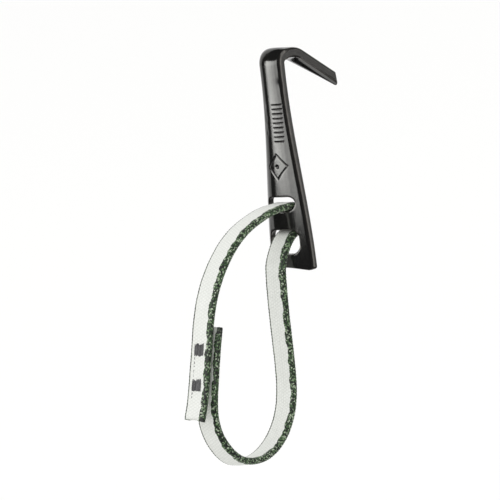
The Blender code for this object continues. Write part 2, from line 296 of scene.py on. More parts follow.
def stamped(y, z):
    """How near a point is to a stamped groove, from 0 outside it to 1 on its middle line.

    The marks are plain: a lozenge with a round dot in it, and a row of equal ticks above.
    """
    if z > TICK_TOP_Z + 1.0 or z < LOZENGE_MIDDLE[1] - LOZENGE_REACH[1] - 1.0:
        return 0.0
    near = math.inf
    if z > LOZENGE_MIDDLE[1] + LOZENGE_REACH[1] + 1.0:
        for i in range(TICK_COUNT):
            tick = TICK_TOP_Z - TICK_PITCH * i
            near = min(near, segment_distance(y, z, (TICK_MIDDLE_Y - TICK_HALF, tick),
                                              (TICK_MIDDLE_Y + TICK_HALF, tick)))
    else:
        cy, cz = LOZENGE_MIDDLE
        ry, rz = LOZENGE_REACH
        corners = [(cy + ry, cz), (cy, cz + rz), (cy - ry, cz), (cy, cz - rz)]
        for a, b in zip(corners, corners[1:] + corners[:1]):
            near = min(near, segment_distance(y, z, a, b))
        near = min(near, max(math.hypot(y - cy, z - cz) - DOT_RADIUS, 0.0))
    return float(smooth(1.0 - near / GROOVE_HALF_WIDTH))


def dents(y, z):
    """How deep the back is dented at a place."""
    deep = 0.0
    for cy, cz, ry, rz, depth in DENTS:
        away = ((y - cy) / ry) ** 2 + ((z - cz) / rz) ** 2
        deep += depth * math.exp(-away * 1.6)
    return deep


def bar_lean(y, z):
    """The bar between the slots leans in towards its lower edge, as the webbing wears it."""
    upper, lower = SLOTS
    top = upper["z"] - upper["height"] / 2
    low = lower["z"] + lower["height"] / 2
    down = min(max((top - z) / (top - low), 0.0), 1.0)
    fade = float(smooth((low - z) / 6.0)) if z < low else 0.0
    across = float(smooth((upper["half_length"] + 0.8 - abs(y)) / 2.2))
    return BAR_LEAN * down * (1.0 - fade) * across


FOOT_ROWS = (0.0, 0.06, 0.18, 0.36, 0.6, 0.85, 1.15, 1.5)
POINT_ROWS = (0.55, 0.35, 0.2, 0.09, 0.0)


def row_step(run):
    """Distance to the next row: close by the slots and the bend, closest by the marks."""
    z = FOOT_Z + run
    if z < -44.5:
        return 0.27
    if z < -9.0:
        return 0.24
    return 0.28 if run < SHANK_RUN + BEND_RUN + 2.0 else 0.6


def hook_runs():
    """Rows along the hook, measured from the foot, with fine ones at its rounded ends."""
    runs = list(FOOT_ROWS)
    while runs[-1] < HOOK_RUN - 1.0:
        runs.append(runs[-1] + row_step(runs[-1]))
    first = FOOT_ROWS[-1]
    scale = (HOOK_RUN - 0.8 - first) / (runs[-1] - first)
    even = [first + (run - first) * scale for run in runs[len(FOOT_ROWS):]]
    return [*FOOT_ROWS, *even, *(HOOK_RUN - left for left in POINT_ROWS)]


COLUMNS = 84
EDGE_BIAS = 0.35
FOOT_CORNER = 1.6
POINT_CORNER = 0.35
SLOTTED_RUN = 0.45 * SHANK_RUN
NO_SLOT = 99.0          # millimetres, past the reach of any edge
WALL_STEPS = 5
ARM_EDGE_RADIUS = 0.45
FRONT_EDGE_RADIUS = 0.45
FOOT_BACK_RADIUS = 0.6
FOOT_FRONT_RADIUS = 0.5
POINT_RADIUS = 0.2
BACK_WEAR_REACH = 0.75
FRONT_WEAR_REACH = 0.6
ARM_BELLY = 0.8         # the arm's underside, from its edges to its proud middle
BELLY_PROUD = 0.6
BELLY_POWER = 2.2


def column_shares():
    """Places across the width from -1 to 1, closer together near both edges."""
    even = [-1.0 + 2.0 * j / COLUMNS for j in range(COLUMNS + 1)]
    return [lerp(t, math.sin(math.pi / 2 * t), EDGE_BIAS) for t in even]


def plan_half(run):
    """Half width, with the foot's corners and the point's corners rounded in plan."""
    half = section_sizes(run)[0]
    for corner, left in ((FOOT_CORNER, run), (POINT_CORNER, HOOK_RUN - run)):
        if left < corner:
            half -= corner - math.sqrt(corner ** 2 - (corner - left) ** 2)
    return half


def foot_rise(run, y, half):
    """How far the hollow in the foot's lower edge lifts a point of the rows above it."""
    lift = max(0.0, 1.0 - run / FOOT_HOLLOW_HEIGHT)
    return FOOT_HOLLOW * lift * (1.0 - min(abs(y / half), 1.0) ** 2)


def nearest_slot(run, y):
    """Signed distance of a place on the hook from the nearer slot's outline."""
    if run > SLOTTED_RUN:
        return NO_SLOT
    z = FOOT_Z + run + foot_rise(run, y, section_sizes(run)[0])
    return min(slot_distance(slot, y, z) for slot in SLOTS)


def move_onto_outline(point):
    """Shift a point straight towards a slot's outline until it lies on it."""
    probe = 0.01
    for _ in range(4):
        run, y = point
        here = nearest_slot(run, y)
        across = (nearest_slot(run, y + probe) - here) / probe
        along = (nearest_slot(run + probe, y) - here) / probe
        steepness = across * across + along * along
        if steepness > 1e-9:
            point[1] -= here * across / steepness
            point[0] -= here * along / steepness


def faces_outside_slots(quad, field):
    """A grid cell's faces that are clear of the slots, halved where an outline crosses it."""
    signs = [field[k] for k in quad]
    if max(signs) <= 0.0:
        return []
    if min(signs) >= 0.0:
        return [quad]
    for first in (0, 1):
        corners = quad[first:] + quad[:first]
        if field[corners[0]] == 0.0 and field[corners[2]] == 0.0:
            halves = (corners[:3], [corners[0], corners[2], corners[3]])
            return [half for half in halves if min(field[k] for k in half) >= 0.0]
    return []


def hook_grid():
    """The hook as one sheet of (run, y) cells with the two slots cut out of it.

    A cell edge that crosses a slot's outline has its nearer end moved onto the outline, so the
    slots keep smooth walls. Returns the points, the faces, and each point's distances from the
    side, the foot, the point and the slots.
    """
    shares = column_shares()
    runs = hook_runs()
    width = len(shares)
    points = [[run, plan_half(run) * share] for run in runs for share in shares]
    field = [nearest_slot(run, y) for run, y in points]
    on_outline = set()
    for i in range(len(points)):
        for j in (i + 1, i + width):
            if j >= len(points) or (j == i + 1 and i % width == width - 1):
                continue
            if field[i] * field[j] < 0.0:
                on_outline.add(i if abs(field[i]) < abs(field[j]) else j)
    for i in on_outline:
        move_onto_outline(points[i])
        field[i] = 0.0
    faces = []
    for row in range(len(runs) - 1):
        for column in range(width - 1):
            a = row * width + column
            faces += faces_outside_slots([a, a + 1, a + 1 + width, a + width], field)
    gaps = [(plan_half(run) - abs(y), run, HOOK_RUN - run, max(slot, 0.0))
            for (run, y), slot in zip(points, field)]
    return points, faces, gaps


def skin_points(run, y, gaps, settings):
    """The back face's and the front face's point at a place, and how deep in a mark it is."""
    side, foot, tip, slot = gaps
    (x, z), heading = back_edge(run)
    half, edge, crown, hollow = section_sizes(run)
    rise = foot_rise(run, y, half)
    share = min(abs(y / half), 1.0)
    bow = 1.0 - share ** CROWN_POWER
    bent = smooth((run - SHANK_RUN - BEND_RUN) / CREST_RUN)
    side_radius = lerp(settings.back_edge_radius / MM, ARM_EDGE_RADIUS, bent)
    slot_sink = round_over(slot, settings.slot_edge_radius / MM)
    back = crown * bow - max(round_over(side, side_radius), round_over(foot, FOOT_BACK_RADIUS),
                             round_over(tip, POINT_RADIUS), slot_sink)
    groove = 0.0
    if run <= SHANK_RUN:
        groove = stamped(y, z + rise)
        back -= settings.mark_depth / MM * groove + dents(y, z + rise) + bar_lean(y, z + rise)
    belly = ARM_BELLY * bent * (share ** BELLY_POWER - BELLY_PROUD)
    front = hollow * bow - edge + belly + max(
        round_over(side, FRONT_EDGE_RADIUS), round_over(foot, FOOT_FRONT_RADIUS),
        round_over(tip, POINT_RADIUS), slot_sink)
    skew = TIP_SKEW * max(run - (HOOK_RUN - ARM_LENGTH), 0.0) / ARM_LENGTH
    pair = []
    for stand in (back, front):
        along = skew * max(-stand, 0.0) / edge
        pair.append(world(x - math.sin(heading) * stand + along * math.cos(heading), y,
                          z + math.cos(heading) * stand + along * math.sin(heading) + rise))
    return pair, groove


def hook_skin(settings):
    """Points, faces and (rim, groove, cut) marks of the hook's faces, side walls and slots."""
    points, sheet, gaps = hook_grid()
    count = len(points)
    back, front = [], []
    back_marks, front_marks = [], []
    for (run, y), gap in zip(points, gaps):
        pair, groove = skin_points(run, y, gap, settings)
        back.append(pair[0])
        front.append(pair[1])
        inward = min(gap)
        back_marks.append((float(smooth(1.0 - inward / BACK_WEAR_REACH)), groove, 0.0))
        front_marks.append((float(smooth(1.0 - inward / FRONT_WEAR_REACH)), 0.0, 0.0))
    vertices = back + front
    marks = back_marks + front_marks
    faces = sheet + [[count + k for k in reversed(face)] for face in sheet]
    borders = {}
    for face in sheet:
        for a, b in zip(face, face[1:] + face[:1]):
            if (b, a) in borders:
                del borders[(b, a)]
            else:
                borders[(a, b)] = True
    columns = {}
    for k in (end for border in borders for end in border):
        if k not in columns:
            between = range(len(vertices), len(vertices) + WALL_STEPS - 1)
            vertices += [back[k].lerp(front[k], s / WALL_STEPS) for s in range(1, WALL_STEPS)]
            marks += [(0.0, 0.0, 1.0)] * (WALL_STEPS - 1)
            columns[k] = [k, *between, count + k]
    for a, b in borders:
        left, right = columns[a], columns[b]
        faces += [[right[s], left[s], left[s + 1], right[s + 1]] for s in range(WALL_STEPS)]
    return vertices, faces, marks


def closed_mesh(name, vertices, faces, marks, titles, uvs=()):
    """A smooth closed mesh, its marks kept as point attributes and its faces outwards."""
    mesh = bpy.data.meshes.new(name)
    mesh.from_pydata([tuple(v) for v in vertices], [], faces)
    if uvs:
        layer = mesh.uv_layers.new(name="lay")
        layer.data.foreach_set("uv", np.array(uvs, dtype=np.float32).ravel())
    for title, values in zip(titles, zip(*marks)):
        attribute = mesh.attributes.new(title, "FLOAT", "POINT")
        attribute.data.foreach_set("value", np.array(values, np.float32))
    form = bmesh.new()
    form.from_mesh(mesh)
    bmesh.ops.delete(form, geom=[v for v in form.verts if not v.link_faces], context="VERTS")
    bmesh.ops.recalc_face_normals(form, faces=form.faces)
    open_edges = sum(1 for e in form.edges if len(e.link_faces) != 2)
    form.to_mesh(mesh)
    form.free()
    if open_edges:
        raise RuntimeError(f"{name} has {open_edges} open or crossed edges")
    mesh.shade_smooth()
    return mesh


def fresh_object(name, data):
    """An object in the scene in place of the one that the last run of its operator left."""
    old = bpy.data.objects.get(name)
    if old is not None:
        bpy.data.objects.remove(old)
    made = bpy.data.objects.new(name, data)
    bpy.context.scene.collection.objects.link(made)
    return made


# ------------------------------------------------------------------ the webbing's form

def smooth_route(points, step):
    """Even points along a centripetal Catmull-Rom curve through a route, and its length."""
    before = tuple(2 * a - b for a, b in zip(points[0], points[1]))
    after = tuple(2 * a - b for a, b in zip(points[-1], points[-2]))
    knots = [Vector((x, 0.0, z)) for x, z in [before, *points, after]]
    fine = []
    for p0, p1, p2, p3 in zip(knots, knots[1:], knots[2:], knots[3:]):
        t1 = (p1 - p0).length ** 0.5
        t2 = t1 + (p2 - p1).length ** 0.5
        t3 = t2 + (p3 - p2).length ** 0.5
        for i in range(24):
            t = lerp(t1, t2, i / 24)
            a1 = p0.lerp(p1, t / t1)
            a2 = p1.lerp(p2, (t - t1) / (t2 - t1))
            a3 = p2.lerp(p3, (t - t2) / (t3 - t2))
            b1 = a1.lerp(a2, t / t2)
            b2 = a2.lerp(a3, (t - t1) / (t3 - t1))
            fine.append(b1.lerp(b2, (t - t1) / (t2 - t1)))
    fine.append(knots[-2])
    lengths = np.cumsum([0.0] + [(b - a).length for a, b in zip(fine, fine[1:])])
    count = max(2, round(lengths[-1] / step))
    at = np.linspace(0.0, lengths[-1], count + 1)
    xs = np.interp(at, lengths, [p.x for p in fine])
    zs = np.interp(at, lengths, [p.z for p in fine])
    return [Vector((x, 0.0, z)) for x, z in zip(xs, zs)], float(lengths[-1])


WHOLE_ROUTE = list(reversed(ROUTE_UPPER)) + ROUTE_BIGHT[1:] + ROUTE_LOWER[1:]
WHOLE_LENGTH = smooth_route(WHOLE_ROUTE, 1.0)[1]
LOWER_LENGTH = smooth_route(ROUTE_LOWER, 1.0)[1]
END_PINCH = 0.16
SEAL_START = 0.4
SEAL_REACH = 3.6
WIDTH_WAVE = 0.008
BAR_SELVAGE = 0.45      # how much further the broad selvage reaches inside, near the bar
BAR_SELVAGE_END = 150.0
BAR_SELVAGE_FADE = 25.0
NEAR_WANDER = 0.34
FAR_WANDER = 0.14
WARP_PITCH = 1.05
KNOT_PITCH = 1.25
KNOT_SLANT = 0.8
END_LAP = 11.0          # where the middle of an end lies on the map round the section


def sway(s):
    """Twist in radians and sideways drift of the webbing, s millimetres along it."""
    share = (s - (WHOLE_LENGTH - LOWER_LENGTH)) / LOWER_LENGTH
    twist = (share - TWIST_SPAN[0]) / (TWIST_SPAN[1] - TWIST_SPAN[0])
    drift = (share - DRIFT_SPAN[0]) / (DRIFT_SPAN[1] - DRIFT_SPAN[0])
    return (math.radians(TWIST_DEG) * float(smooth(1.0 - abs(2.0 * twist - 1.0))),
            DRIFT * float(smooth(drift)))


def wander(s, seed):
    """A slow wave along the webbing, about -1 to 1, that never repeats exactly."""
    return (0.5 * math.sin(s / 1.31 + 1.7 * seed) + 0.3 * math.sin(s / 0.57 + 2.9 * seed)
            + 0.35 * math.sin(s / 2.9 + 0.6 * seed))


def section_outline(settings):
    """Points (y, n) round the webbing's section, from the middle of its inner face."""
    half_y = settings.width / MM / 2
    half_n = settings.thickness / MM / 2
    radius = min(settings.edge_radius / MM, half_n * 0.98)
    flat_y, flat_n = half_y - radius, half_n - radius
    step = settings.mesh_step / MM

    def straight(a, b):
        n = max(1, round(math.dist(a, b) / step))
        return [tuple(lerp(p, q, i / n) for p, q in zip(a, b)) for i in range(n)]

    def corner(cy, cn, start):
        n = max(3, round(radius * math.pi / 2 / step))
        return [(cy + radius * math.cos(start + math.pi / 2 * i / n),
                 cn + radius * math.sin(start + math.pi / 2 * i / n)) for i in range(n)]

    return (straight((0.0, -half_n), (flat_y, -half_n))
            + corner(flat_y, -flat_n, -math.pi / 2)
            + straight((half_y, -flat_n), (half_y, flat_n))
            + corner(flat_y, flat_n, 0.0)
            + straight((flat_y, half_n), (-flat_y, half_n))
            + corner(-flat_y, flat_n, math.pi / 2)
            + straight((-half_y, flat_n), (-half_y, -flat_n))
            + corner(-flat_y, -flat_n, math.pi)
            + straight((-flat_y, -half_n), (0.0, -half_n)))


def section_normals(outline):
    """The outward direction (y, n) at each point of the section."""
    normals = []
    for before, after in zip(outline[-1:] + outline[:-1], outline[1:] + outline[:1]):
        tangent = (after[0] - before[0], after[1] - before[1])
        size = math.hypot(*tangent)
        normals.append((tangent[1] / size, -tangent[0] / size))
    return normals


def selvage_share(s, y, n, settings):
    """How far a place on the webbing's skin lies in the selvage: 0 in the white body, 1 in it."""
    half_n = settings.thickness / MM / 2
    near, outer = y < 0.0, n > 0.0
    reach = (settings.selvage_near if near else settings.selvage_far) / MM
    if near and not outer:
        reach += BAR_SELVAGE * float(smooth((BAR_SELVAGE_END - s) / BAR_SELVAGE_FADE))
    seed = (1 if near else 2) + (0 if outer else 5)
    reach += (NEAR_WANDER if near else FAR_WANDER) * wander(s, seed)
    inside = reach - (settings.width / MM / 2 - abs(y))
    if abs(n) <= half_n - 0.02:
        inside = max(inside, 0.25 + half_n - abs(n))
    return min(max(0.5 + inside / 0.5, 0.0), 1.0)


def weave(s, y, u, rib_pitch):
    """Heights from 0 to 1 of the body's woven ribs and of the selvage's yarn knots."""
    column = math.floor(y / WARP_PITCH)
    weft = abs(math.sin(math.pi * (s / rib_pitch + 0.5 * (column % 2))))
    warp = abs(math.cos(math.pi * (y / WARP_PITCH - column - 0.5))) ** 0.5
    knots = abs(math.sin(math.pi * (s + KNOT_SLANT * u) / KNOT_PITCH)) \
        * abs(math.sin(math.pi * (s - KNOT_SLANT * u) / KNOT_PITCH))
    return weft * warp, knots


def tube_faces(count, last, perimeter, along):
    """Side faces of a tube of rings, fans over its two ends, and their (lap, run) places.

    The rings' points come first, then the middles of the two ends.
    """
    faces, uvs = [], []
    for i in range(last):
        for k in range(count):
            j = (k + 1) % count
            faces.append([i * count + k, i * count + j, (i + 1) * count + j, (i + 1) * count + k])
            u0, u1 = perimeter[k], perimeter[k + 1]
            v0, v1 = along[i], along[i + 1]
            uvs += [(u0, v0), (u1, v0), (u1, v1), (u0, v1)]
    for end, base in enumerate((0, last * count)):
        for k in range(count):
            faces.append([(last + 1) * count + end, base + k, base + (k + 1) % count])
            uvs += [(END_LAP, along[0]), (perimeter[k], along[0]), (perimeter[k + 1], along[0])]
    return faces, uvs


def webbing_mesh(name, line, start_mm, melted, settings):
    """A length of webbing with woven ribs on its flats and plump speckled selvages.

    line is its middle line in millimetres, and start_mm how far along the whole webbing it
    starts. Its real cut end is the last ring, melted dark, where melted is true, and else the
    first ring, a little frayed. The broad selvage, on the -Y side, swells past the edge. The
    narrow selvage on the +Y side, away from the camera, is darkened as painted shade by the
    same mark that darkens the melted end.
    """
    outline = section_outline(settings)
    normals = section_normals(outline)
    count = len(outline)
    half_y = settings.width / MM / 2
    perimeter = np.cumsum([0.0] + [math.dist(a, b) for a, b in
                                   zip(outline, outline[1:] + outline[:1])])
    along = start_mm + np.cumsum([0.0] + [(b - a).length for a, b in zip(line, line[1:])])
    last = len(line) - 1
    vertices, marks = [], []
    for i, middle in enumerate(line):
        ahead = (line[min(i + 1, last)] - line[max(i - 1, 0)]).normalized()
        outward = Vector((-ahead.z, 0.0, ahead.x))
        s = along[i]
        twist, drift = sway(s)
        if melted:
            end_gap = along[last] - s
            seal_and_shade = float(smooth(1.0 - (end_gap - SEAL_START) / SEAL_REACH))
        else:
            end_gap = s - start_mm
            seal_and_shade = 0.35 * float(smooth(1.0 - end_gap))
        pinch = 1.0 - END_PINCH * float(smooth(1.0 - end_gap / 0.7))
        width_wave = 1.0 + WIDTH_WAVE * wander(s, 4)
        for k, (y, n) in enumerate(outline):
            near = y < 0.0
            selvage = selvage_share(s, y, n, settings)
            woven, knots = weave(s, y, perimeter[k], settings.rib_pitch / MM)
            relief = lerp(settings.rib_height / MM * (woven - 0.6),
                          settings.selvage_relief / MM * (knots - 0.35), selvage)
            swell = 0.0
            if near:
                swell = settings.selvage_bulge / MM * float(smooth((abs(y) - half_y + 1.6) / 1.6))
            wide = y * width_wave - swell + normals[k][0] * relief
            thick = (n + normals[k][1] * relief) * pinch
            out = thick * math.cos(twist) + wide * math.sin(twist)
            side = wide * math.cos(twist) - thick * math.sin(twist) + drift
            fray = 0.0
            if melted and i == last:
                fray = 0.15 * wander(6.1 * perimeter[k], 3)
            elif not melted and i == 0:
                fray = 0.12 * wander(7.3 * perimeter[k], 3) - 0.7 * selvage * (1.0 if near else 0.3)
            vertices.append(world(middle.x + outward.x * out + ahead.x * fray, side,
                                  middle.z + outward.z * out + ahead.z * fray))
            # Third mark: the melted end's darkening, and painted shade on the far (+Y) selvage,
            # away from the camera.
            marks.append((selvage, woven if selvage < 0.5 else knots,
                          seal_and_shade if near else max(seal_and_shade, 0.6 * selvage)))
    for base, seal_and_shade in ((0, 0.1), (last * count, 1.0 if melted else 0.1)):
        vertices.append(sum(vertices[base:base + count], Vector()) / count)
        marks.append((0.0, 0.6, seal_and_shade))
    faces, uvs = tube_faces(count, last, perimeter, along)
    mesh = closed_mesh(name, vertices, faces, marks, ("selvage", "relief", "seal_and_shade"), uvs)
    mesh.set_sharp_from_angle(angle=math.radians(60.0))
    return mesh


# ------------------------------------------------------------------ materials

def add(tree, kind, inputs=(), **settings):
    """Add a node, set its properties, and fill its inputs by name or number.

    An input takes a plain value, another node's socket, or a node for its first live socket.
    """
    item = tree.nodes.new(kind)
    for name, value in settings.items():
        setattr(item, name, value)
    for key, value in dict(inputs).items():
        if isinstance(value, bpy.types.Node):
            value = next(socket for socket in value.outputs if socket.enabled)
        if isinstance(value, bpy.types.NodeSocket):
            tree.links.new(value, item.inputs[key])
        else:
            item.inputs[key].default_value = value
    return item


def fresh_material(name):
    """A material with an empty node tree. In the trees, a Mix node's colours are 6 and 7."""
    material = bpy.data.materials.get(name) or bpy.data.materials.new(name)
    material.use_nodes = True
    material.node_tree.nodes.clear()
    return material


def blackened_steel():
    """Chrome-molybdenum steel, forged, blackened and burnished.

    The black oxide is thin and semi-gloss, so lights show as long soft bands; it has worn
    brownish and lighter along edges, and the sheared side walls keep a coarse satin grain.
    """
    material = fresh_material("blackened_burnished_steel")
    tree = material.node_tree
    place = add(tree, "ShaderNodeTexCoord").outputs["Object"]
    rim, cut, groove = (add(tree, "ShaderNodeAttribute", attribute_name=name).outputs["Fac"]
                        for name in ("rim", "cut", "groove"))
    # 2.5 mm patches of uneven oxide.
    patches = add(tree, "ShaderNodeTexNoise", {"Vector": place, "Scale": 400.0, "Detail": 4.0,
                                               "Roughness": 0.6})
    # Burnishing streaks along the plate: 0.2 mm across, about 5 mm long.
    stretched = add(tree, "ShaderNodeMapping", {"Vector": place, "Scale": (5000.0, 5000.0, 200.0)})
    streaks = add(tree, "ShaderNodeTexNoise", {"Vector": stretched, "Scale": 1.0, "Detail": 3.0})
    # 0.25 mm grain of the sheared walls.
    grain = add(tree, "ShaderNodeTexNoise", {"Vector": place, "Scale": 4000.0, "Detail": 2.0,
                                             "Roughness": 0.7})
    oxide = add(tree, "ShaderNodeMix", {0: patches, 6: linear("#454544"), 7: linear("#4E4E4C")},
                data_type="RGBA")
    walls = add(tree, "ShaderNodeMix", {0: patches, 6: linear("#4C4B49"), 7: linear("#5A5956")},
                data_type="RGBA")
    tone = add(tree, "ShaderNodeMix", {0: cut, 6: oxide, 7: walls}, data_type="RGBA")
    patchy = add(tree, "ShaderNodeMath", {0: patches, 1: 0.55}, operation="MULTIPLY")
    worn = add(tree, "ShaderNodeMath", {0: rim, 1: patchy}, operation="MULTIPLY")
    tone = add(tree, "ShaderNodeMix", {0: worn, 6: tone, 7: linear("#8A857E")}, data_type="RGBA")
    marked = add(tree, "ShaderNodeMath", {0: groove, 1: 0.85}, operation="MULTIPLY")
    tone = add(tree, "ShaderNodeMix", {0: marked, 6: tone, 7: linear("#1C1B1A")},
               data_type="RGBA")
    satin = add(tree, "ShaderNodeMath", {0: streaks, 1: 0.08, 2: 0.085},
                operation="MULTIPLY_ADD")
    coarse = add(tree, "ShaderNodeMath", {0: cut, 1: 0.25}, operation="MULTIPLY")
    rough = add(tree, "ShaderNodeMath", {0: satin, 1: coarse}, operation="ADD")
    strength = add(tree, "ShaderNodeMath", {0: cut, 1: 0.5, 2: 0.1}, operation="MULTIPLY_ADD")
    fine = add(tree, "ShaderNodeBump", {"Strength": strength, "Distance": 0.00012,
                                        "Height": grain})
    broad = add(tree, "ShaderNodeBump", {"Strength": 0.12, "Distance": 0.0001,
                                         "Height": patches, "Normal": fine})
    shader = add(tree, "ShaderNodeBsdfPrincipled", {"Base Color": tone, "Metallic": 0.86,
                                                    "Roughness": rough, "Normal": broad})
    add(tree, "ShaderNodeOutputMaterial", {"Surface": shader})
    return material


def woven_webbing():
    """Narrow sling webbing of white high-modulus polyethylene with a woven-in selvage.

    The white body is slightly waxy with a low sheen. The selvage mixes dark green, black and
    sage yarns, which read as short flecks about half a millimetre long. Its inner cut end is
    melted dark. The webbing's own map is in millimetres: round the section, then along it.
    """
    material = fresh_material("white_polyethylene_webbing")
    tree = material.node_tree
    lay = add(tree, "ShaderNodeUVMap", uv_map="lay")
    selvage, relief, seal_and_shade = (add(tree, "ShaderNodeAttribute", attribute_name=name).outputs["Fac"]
                             for name in ("selvage", "relief", "seal_and_shade"))
    # The selvage's border is ragged by single yarns, 0.6 mm.
    ragged = add(tree, "ShaderNodeTexNoise", {"Vector": lay, "Scale": 1.6, "Detail": 2.0})
    shifted = add(tree, "ShaderNodeMath", {0: ragged, 1: 0.9, 2: -0.45},
                  operation="MULTIPLY_ADD")
    edge = add(tree, "ShaderNodeMath", {0: selvage, 1: shifted}, operation="ADD")
    mask = add(tree, "ShaderNodeMath", {0: edge, 1: 0.5}, operation="GREATER_THAN")
    # Flecks: cells about 0.4 mm across and 0.5 mm long.
    cells_place = add(tree, "ShaderNodeMapping", {"Vector": lay, "Scale": (2.5, 1.9, 1.0),
                                                  "Rotation": (0.0, 0.0, 0.5)})
    cells = add(tree, "ShaderNodeTexVoronoi", {"Vector": cells_place, "Scale": 1.0,
                                               "Randomness": 0.8}, voronoi_dimensions="2D")
    pick = add(tree, "ShaderNodeSeparateColor", {"Color": cells.outputs["Color"]})
    yarns = add(tree, "ShaderNodeValToRGB", {"Fac": pick})
    yarns.color_ramp.interpolation = "CONSTANT"
    shades = ((0.0, "#091007"), (0.34, "#1D3A16"), (0.55, "#3C6030"), (0.74, "#79936B"),
              (0.89, "#B4C2A8"))
    for _ in shades[2:]:
        yarns.color_ramp.elements.new(1.0)
    for stop, (position, code) in zip(yarns.color_ramp.elements, shades):
        stop.position = position
        stop.color = linear(code)
    # Painted shade: the selvage's flecks darken towards near black where the knots' relief is low.
    low = add(tree, "ShaderNodeMath", {0: 1.0, 1: relief}, operation="SUBTRACT")
    between = add(tree, "ShaderNodeMath", {0: low, 1: 0.5}, operation="MULTIPLY")
    flecks = add(tree, "ShaderNodeMix", {0: between, 6: yarns, 7: linear("#10160E")},
                 data_type="RGBA")
    # Faint dirt in 3 mm clouds, and painted shade in the weave's valleys.
    cloud = add(tree, "ShaderNodeTexNoise", {"Vector": lay, "Scale": 0.35, "Detail": 3.0})
    white = add(tree, "ShaderNodeMix", {0: cloud, 6: linear("#EAEBE7"), 7: linear("#DFE1DB")},
                data_type="RGBA")
    valley = add(tree, "ShaderNodeMath", {0: low, 1: 0.4}, operation="MULTIPLY")
    white = add(tree, "ShaderNodeMix", {0: valley, 6: white, 7: linear("#B4B7B0")},
                data_type="RGBA")
    tone = add(tree, "ShaderNodeMix", {0: mask, 6: white, 7: flecks}, data_type="RGBA")
    # Painted shade: this mark darkens the far selvage, on the side away from the camera, as well as
    # the melted end.
    seal_and_shade_depth = add(tree, "ShaderNodeMath", {0: mask, 1: 0.75, 2: 0.12}, operation="MULTIPLY_ADD")
    dark = add(tree, "ShaderNodeMath", {0: seal_and_shade, 1: seal_and_shade_depth}, operation="MULTIPLY")
    tone = add(tree, "ShaderNodeMix", {0: dark, 6: tone, 7: linear("#161C15")},
               data_type="RGBA")
    # Single yarns, 0.35 mm, too fine for the mesh: a twill of crossing waves.
    warp = add(tree, "ShaderNodeTexWave", {"Vector": lay, "Scale": 0.45, "Distortion": 0.6,
                                           "Detail": 1.0}, bands_direction="X")
    weft = add(tree, "ShaderNodeTexWave", {"Vector": lay, "Scale": 0.5, "Distortion": 0.6,
                                           "Detail": 1.0}, bands_direction="Y")
    yarn = add(tree, "ShaderNodeMath", {0: warp.outputs["Fac"], 1: weft.outputs["Fac"]},
               operation="MULTIPLY")
    bump = add(tree, "ShaderNodeBump", {"Strength": 0.35, "Distance": 0.00008, "Height": yarn})
    shader = add(tree, "ShaderNodeBsdfPrincipled", {
        "Base Color": tone, "Roughness": 0.62, "Specular IOR Level": 0.35, "Sheen Weight": 0.15,
        "Sheen Roughness": 0.5, "Normal": bump})
    add(tree, "ShaderNodeOutputMaterial", {"Surface": shader})
    return material


def tack_thread():
    """Bonded polyester sewing thread, dark grey, in dense satin rows with a dull shine."""
    material = fresh_material("bonded_polyester_thread")
    tree = material.node_tree
    place = add(tree, "ShaderNodeTexCoord").outputs["Object"]
    # Threads that differ a little in tone, in patches of 0.4 mm.
    tones = add(tree, "ShaderNodeTexNoise", {"Vector": place, "Scale": 2500.0, "Detail": 2.0})
    tone = add(tree, "ShaderNodeMix", {0: tones, 6: linear("#1B1B1C"), 7: linear("#48484A")},
               data_type="RGBA")
    # Ply twist, one turn every 0.3 mm.
    ply = add(tree, "ShaderNodeTexWave", {"Vector": place, "Scale": 1000.0, "Distortion": 1.0},
              bands_direction="DIAGONAL")
    bump = add(tree, "ShaderNodeBump", {"Strength": 0.3, "Distance": 0.00004,
                                        "Height": ply.outputs["Fac"]})
    shader = add(tree, "ShaderNodeBsdfPrincipled", {
        "Base Color": tone, "Roughness": 0.5, "Specular IOR Level": 0.45, "Normal": bump})
    add(tree, "ShaderNodeOutputMaterial", {"Surface": shader})
    return material


def matt_paper(colour):
    """Matt white paper for the floor: no shine, and no grain at this distance."""
    material = fresh_material("matt_paper_floor")
    tree = material.node_tree
    shader = add(tree, "ShaderNodeBsdfPrincipled", {
        "Base Color": tuple(colour), "Roughness": 0.9, "Specular IOR Level": 0.1})
    add(tree, "ShaderNodeOutputMaterial", {"Surface": shader})
    return material


# ------------------------------------------------------------------ bar tacks

PAD_SINK = 0.1
PAD_ARCH = 0.00012
PAD_ARCH_STEP = 0.00006
LOOSE_DASHES = 6
LOOSE_START = 2.6
LOOSE_PITCH = 1.55
LOOSE_Y = 1.75
LOOSE_RADIUS = 0.16
CROSS_THREADS = 5
CROSS_PITCH = 0.7
CROSS_ALONG = 0.6
CROSS_RADIUS = 0.2


